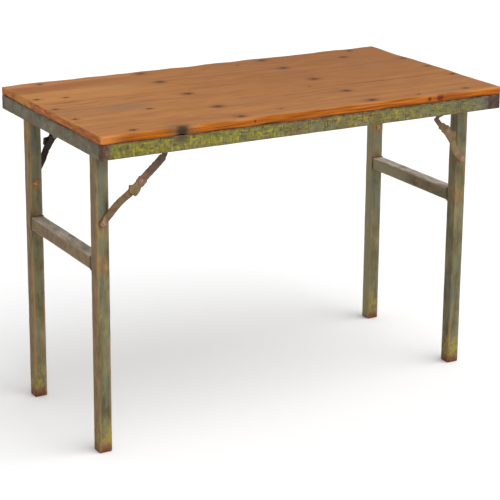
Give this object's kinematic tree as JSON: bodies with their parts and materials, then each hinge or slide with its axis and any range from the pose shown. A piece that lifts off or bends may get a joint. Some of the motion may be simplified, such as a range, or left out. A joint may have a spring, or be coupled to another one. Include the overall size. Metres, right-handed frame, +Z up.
{
  "type": "folding table",
  "caption": "Plank-topped folding table on an angle-iron rim, with tubular leg frames that fold flat under the top and two-link locking braces.",
  "frame": {"origin": "on the floor, under the middle of the top, table standing with the legs open", "axes": "+X along the length to the right, +Y to the back, +Z up"},
  "size_m": [1.08, 0.57, 0.76],
  "materials": {
    "plank_wood": "old planks, worn and waxed",
    "rim_paint": "worn grey-green paint with older lime and blue coats showing, rust at the corners",
    "underside_paint": "dull grey-green paint with rust",
    "leg_paint": "worn olive grey paint with rust streaks",
    "foot_iron": "rusted through at the floor",
    "brace_iron": "rusty brown forged strap",
    "screw_steel": "dark oxidised screw heads",
    "hardware_steel": "dull oiled steel"
  },
  "bodies": {
    "top": {"back_left_brace_bolt": "brace_iron", "back_left_brace_nut": "brace_iron", "back_left_brace_spacer": "brace_iron", "back_right_brace_bolt": "brace_iron", "back_right_brace_nut": "brace_iron", "back_right_brace_spacer": "brace_iron", "bearer_left": "underside_paint", "bearer_right": "underside_paint", "board_back": "plank_wood", "board_front": "plank_wood", "board_middle": "plank_wood", "front_left_brace_bolt": "brace_iron", "front_left_brace_nut": "brace_iron", "front_left_brace_spacer": "brace_iron", "front_right_brace_bolt": "brace_iron", "front_right_brace_nut": "brace_iron", "front_right_brace_spacer": "brace_iron", "hinge_ears_left": "underside_paint", "hinge_ears_right": "underside_paint", "left_pivot_bolts": "hardware_steel", "left_pivot_nuts": "hardware_steel", "rail_back": "rim_paint", "rail_front": "rim_paint", "rail_left": "rim_paint", "rail_right": "rim_paint", "right_pivot_bolts": "hardware_steel", "right_pivot_nuts": "hardware_steel", "top_screws": "screw_steel"},
    "left_leg_frame": {"left_front_leg": "leg_paint", "left_back_leg": "leg_paint", "left_cross_bar": "leg_paint", "left_feet": "foot_iron", "left_pivot_bushes": "hardware_steel"},
    "right_leg_frame": {"right_front_leg": "leg_paint", "right_back_leg": "leg_paint", "right_cross_bar": "leg_paint", "right_feet": "foot_iron", "right_pivot_bushes": "hardware_steel"},
    "front_left_upper_link": {"front_left_upper_link": "brace_iron", "front_left_elbow_rivet": "brace_iron"},
    "front_left_lower_link": {"front_left_lower_link": "brace_iron", "front_left_leg_rivet": "brace_iron"},
    "back_left_upper_link": {"back_left_upper_link": "brace_iron", "back_left_elbow_rivet": "brace_iron"},
    "back_left_lower_link": {"back_left_lower_link": "brace_iron", "back_left_leg_rivet": "brace_iron"},
    "front_right_upper_link": {"front_right_upper_link": "brace_iron", "front_right_elbow_rivet": "brace_iron"},
    "front_right_lower_link": {"front_right_lower_link": "brace_iron", "front_right_leg_rivet": "brace_iron"},
    "back_right_upper_link": {"back_right_upper_link": "brace_iron", "back_right_elbow_rivet": "brace_iron"},
    "back_right_lower_link": {"back_right_lower_link": "brace_iron", "back_right_leg_rivet": "brace_iron"}
  },
  "joints": [
    {"name": "left_leg_fold", "type": "hinge", "parent": "top", "child": "left_leg_frame", "pos_m": [-0.5175, 0, 0.719], "axis": [0, -1, 0], "range_deg": [0, 90]},
    {"name": "right_leg_fold", "type": "hinge", "parent": "top", "child": "right_leg_frame", "pos_m": [0.5175, 0, 0.719], "axis": [0, 1, 0], "range_deg": [0, 90]},
    {"name": "front_left_rail_pivot", "type": "hinge", "parent": "top", "child": "front_left_upper_link", "pos_m": [-0.3725, -0.27, 0.718], "axis": [0, 1, 0], "range_deg": [0, 46.55]},
    {"name": "front_left_elbow_pivot", "type": "hinge", "parent": "front_left_upper_link", "child": "front_left_lower_link", "pos_m": [-0.43745, -0.27, 0.64319], "axis": [0, -1, 0], "range_deg": [0, 180.01]},
    {"name": "back_left_rail_pivot", "type": "hinge", "parent": "top", "child": "back_left_upper_link", "pos_m": [-0.3725, 0.27, 0.718], "axis": [0, 1, 0], "range_deg": [0, 46.55]},
    {"name": "back_left_elbow_pivot", "type": "hinge", "parent": "back_left_upper_link", "child": "back_left_lower_link", "pos_m": [-0.43745, 0.27, 0.64319], "axis": [0, -1, 0], "range_deg": [0, 180.01]},
    {"name": "front_right_rail_pivot", "type": "hinge", "parent": "top", "child": "front_right_upper_link", "pos_m": [0.3725, -0.27, 0.718], "axis": [0, -1, 0], "range_deg": [0, 46.55]},
    {"name": "front_right_elbow_pivot", "type": "hinge", "parent": "front_right_upper_link", "child": "front_right_lower_link", "pos_m": [0.43745, -0.27, 0.64319], "axis": [0, 1, 0], "range_deg": [0, 180.01]},
    {"name": "back_right_rail_pivot", "type": "hinge", "parent": "top", "child": "back_right_upper_link", "pos_m": [0.3725, 0.27, 0.718], "axis": [0, -1, 0], "range_deg": [0, 46.55]},
    {"name": "back_right_elbow_pivot", "type": "hinge", "parent": "back_right_upper_link", "child": "back_right_lower_link", "pos_m": [0.43745, 0.27, 0.64319], "axis": [0, 1, 0], "range_deg": [0, 180.01]}
  ],
  "couplings": [
    {"joint": "front_left_rail_pivot", "follows": "left_leg_fold", "ratio": 0.51715},
    {"joint": "front_left_elbow_pivot", "follows": "left_leg_fold", "ratio": 2},
    {"joint": "back_left_rail_pivot", "follows": "left_leg_fold", "ratio": 0.51715},
    {"joint": "back_left_elbow_pivot", "follows": "left_leg_fold", "ratio": 2},
    {"joint": "front_right_rail_pivot", "follows": "right_leg_fold", "ratio": 0.51715},
    {"joint": "front_right_elbow_pivot", "follows": "right_leg_fold", "ratio": 2},
    {"joint": "back_right_rail_pivot", "follows": "right_leg_fold", "ratio": 0.51715},
    {"joint": "back_right_elbow_pivot", "follows": "right_leg_fold", "ratio": 2}
  ]
}
